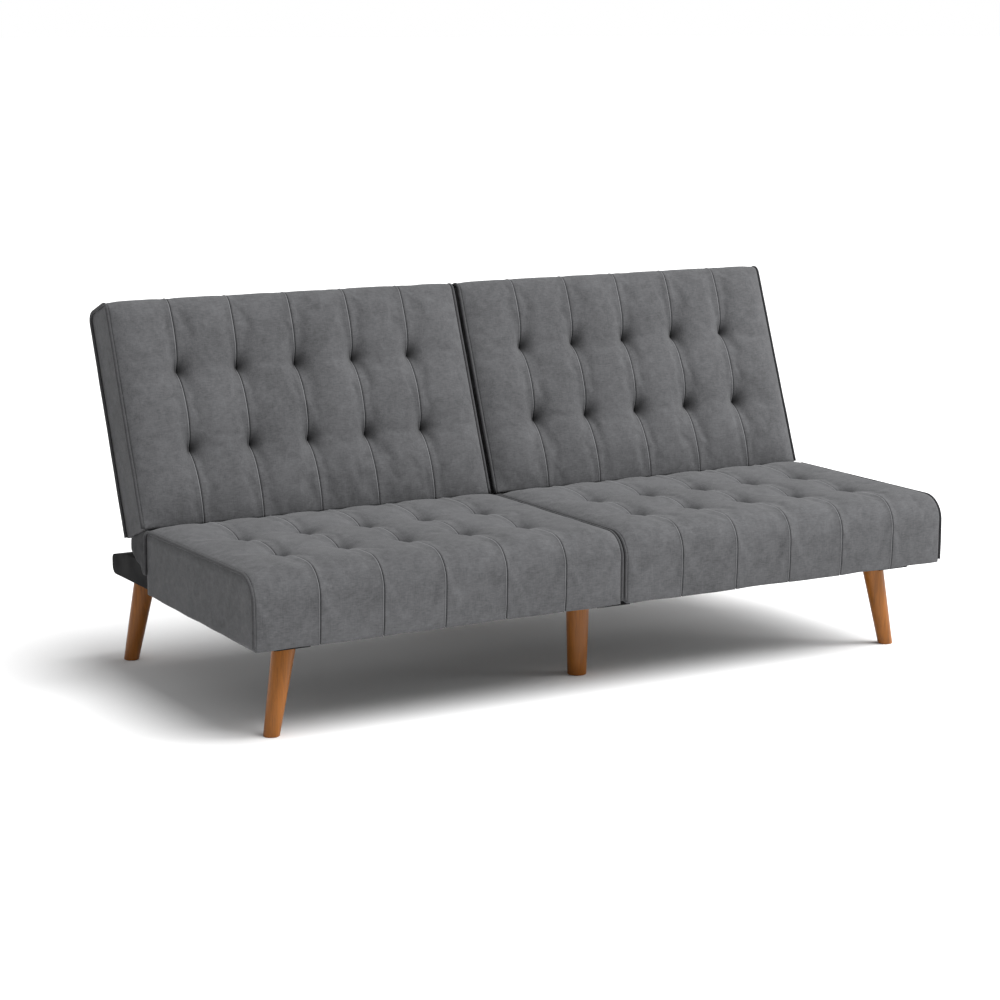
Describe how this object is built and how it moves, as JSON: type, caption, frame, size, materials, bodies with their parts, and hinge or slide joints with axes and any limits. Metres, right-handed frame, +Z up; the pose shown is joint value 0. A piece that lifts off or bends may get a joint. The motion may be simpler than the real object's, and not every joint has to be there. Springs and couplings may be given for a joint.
{
  "type": "futon sofa bed",
  "caption": "Armless upholstered sofa with channelled, tufted seats and split backs that recline flat to make a bed, on tapered splayed wooden legs.",
  "frame": {"origin": "on the floor under the middle of the sofa, at the centre of the base of its box at rest", "axes": "+X along the sofa to a viewer's right, +Y from the front of the seats to the rear, +Z up"},
  "size_m": [1.7, 0.873, 0.8026],
  "materials": {
    "grey_fabric": "short-nap woven, mottled",
    "piping": "woven welt",
    "black_cloth": "non-woven",
    "foam": "open cell",
    "pine": "sawn",
    "plywood": "sanded",
    "stained_wood": "satin stain",
    "black_paint": "matte paint",
    "steel": "zinc plated",
    "black_steel": "black coated"
  },
  "bodies": {
    "base": {"centre_leg_front": "stained_wood", "centre_leg_front_bolt": "steel", "centre_leg_rear": "stained_wood", "centre_leg_rear_bolt": "steel", "centre_rail": "black_paint", "dust_cover_left": "black_cloth", "dust_cover_right": "black_cloth", "front_leg_left": "stained_wood", "front_leg_left_bolt": "steel", "front_leg_right": "stained_wood", "front_leg_right_bolt": "steel", "front_stretcher_left": "black_paint", "front_stretcher_right": "black_paint", "hinge_bracket_left_inner": "black_steel", "hinge_bracket_left_outer": "black_steel", "hinge_bracket_right_inner": "black_steel", "hinge_bracket_right_outer": "black_steel", "hinge_pin_left_inner": "steel", "hinge_pin_left_outer": "steel", "hinge_pin_right_inner": "steel", "hinge_pin_right_outer": "steel", "hinge_skirt_left": "grey_fabric", "hinge_skirt_right": "grey_fabric", "rear_leg_left": "stained_wood", "rear_leg_left_bolt": "steel", "rear_leg_right": "stained_wood", "rear_leg_right_bolt": "steel", "rear_stretcher_left": "black_paint", "rear_stretcher_right": "black_paint", "seat_cover_left": "grey_fabric", "seat_cover_right": "grey_fabric", "seat_deck_left": "plywood", "seat_deck_right": "plywood", "seat_foam_left": "foam", "seat_foam_right": "foam", "seat_frame_left": "pine", "seat_frame_right": "pine", "seat_piping_left_inner": "piping", "seat_piping_left_outer": "piping", "seat_piping_right_inner": "piping", "seat_piping_right_outer": "piping", "side_rail_left": "black_paint", "side_rail_right": "black_paint"},
    "back_left": {"back_cover_left": "grey_fabric", "back_foam_left": "foam", "back_frame_left": "pine", "back_panel_left": "plywood", "back_piping_left_inner": "piping", "back_piping_left_outer": "piping", "hinge_arm_left_inner": "black_steel", "hinge_arm_left_outer": "black_steel"},
    "back_right": {"back_cover_right": "grey_fabric", "back_foam_right": "foam", "back_frame_right": "pine", "back_panel_right": "plywood", "back_piping_right_inner": "piping", "back_piping_right_outer": "piping", "hinge_arm_right_inner": "black_steel", "hinge_arm_right_outer": "black_steel"}
  },
  "joints": [
    {"name": "recline_left", "type": "hinge", "parent": "base", "child": "back_left", "pos_m": [-0.431, 0.1275, 0.315], "axis": [-1, 0, 0], "range_deg": [-6, 69.2]},
    {"name": "recline_right", "type": "hinge", "parent": "base", "child": "back_right", "pos_m": [0.431, 0.1275, 0.315], "axis": [-1, 0, 0], "range_deg": [-6, 69.2]}
  ]
}
